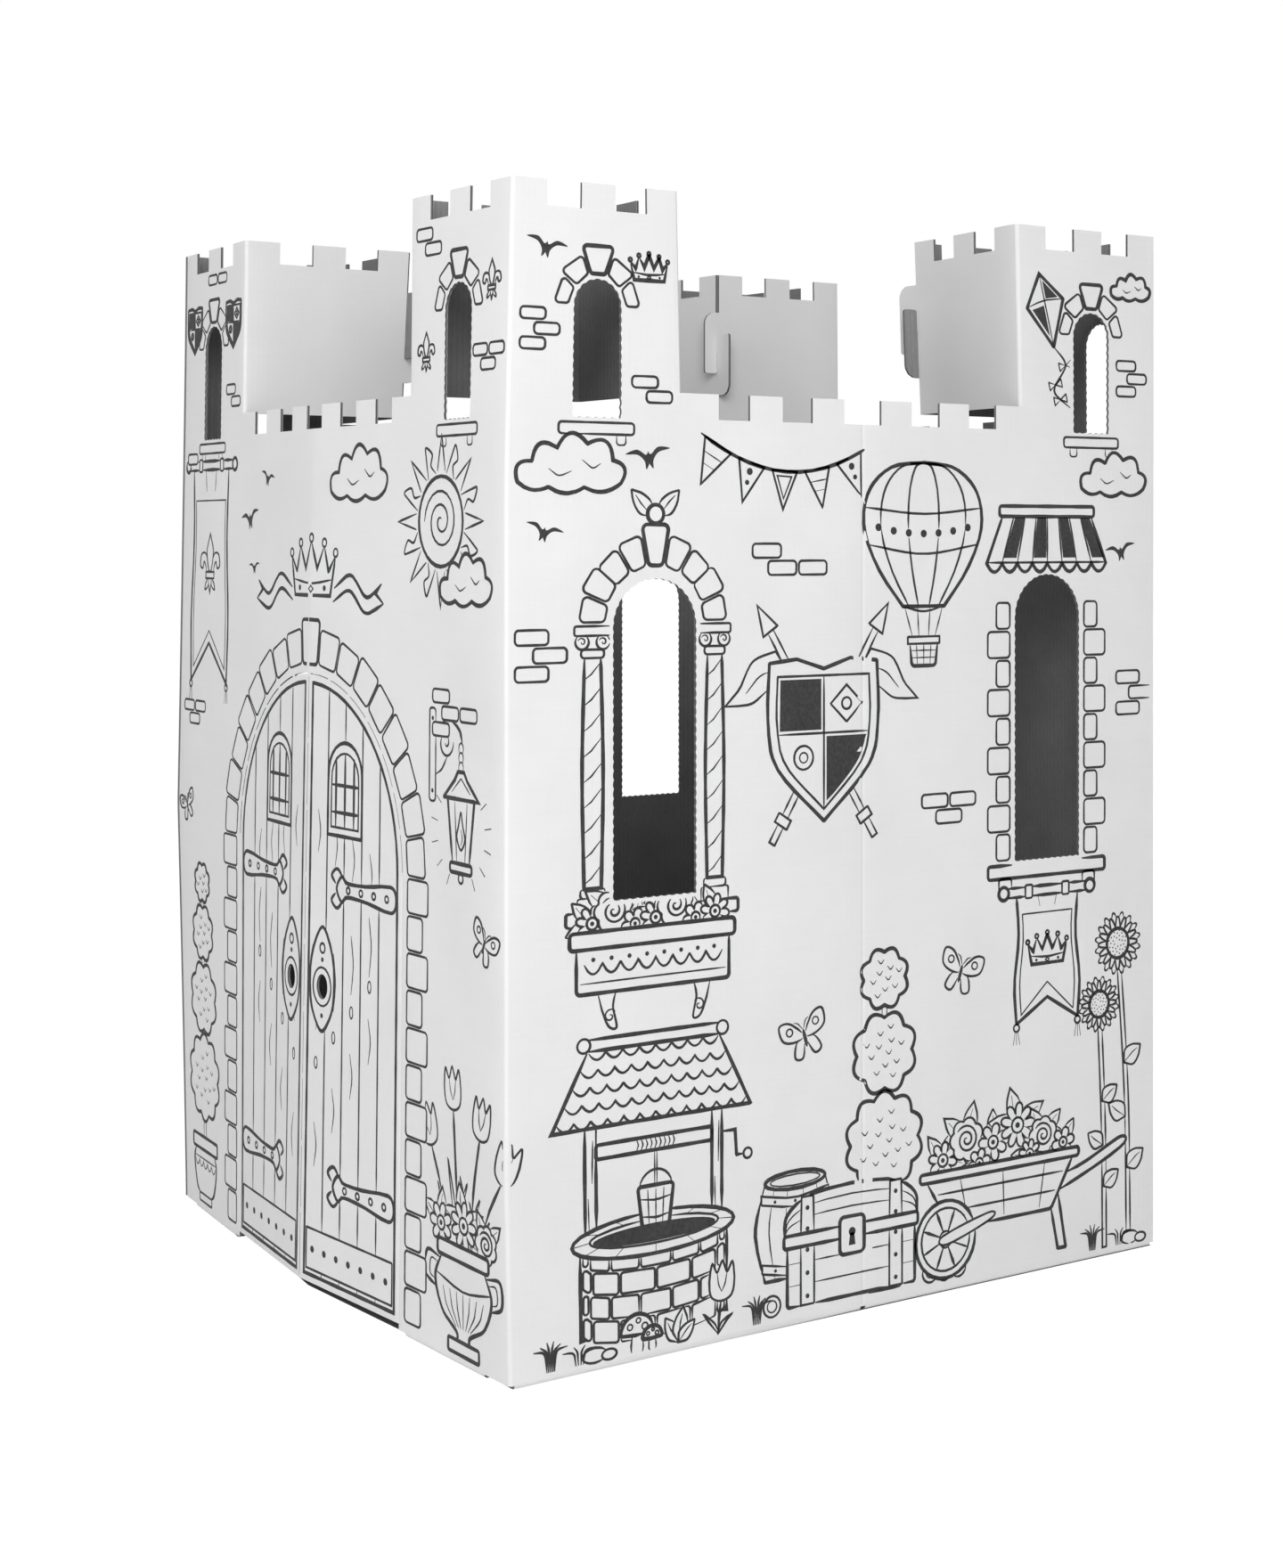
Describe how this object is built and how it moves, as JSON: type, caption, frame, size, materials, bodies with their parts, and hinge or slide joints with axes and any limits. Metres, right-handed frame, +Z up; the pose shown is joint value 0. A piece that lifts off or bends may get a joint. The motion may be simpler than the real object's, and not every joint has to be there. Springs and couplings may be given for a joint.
{
  "type": "cardboard play castle",
  "caption": "Folded corrugated-board play castle, open at top and bottom, with hooked corner towers, battlements, arched windows and a double door held by nicks.",
  "frame": {"origin": "on the floor, at the middle of the plan", "axes": "+Z up, the door wall faces -Y, the side walls with windows face +X and -X"},
  "size_m": [0.77, 0.8718, 1.118],
  "materials": {
    "white_board": "white liner outside, plain board inside, printed outlines to colour in"
  },
  "bodies": {
    "root": {"front_sheet": "white_board", "back_sheet": "white_board"}
  },
  "joints": []
}
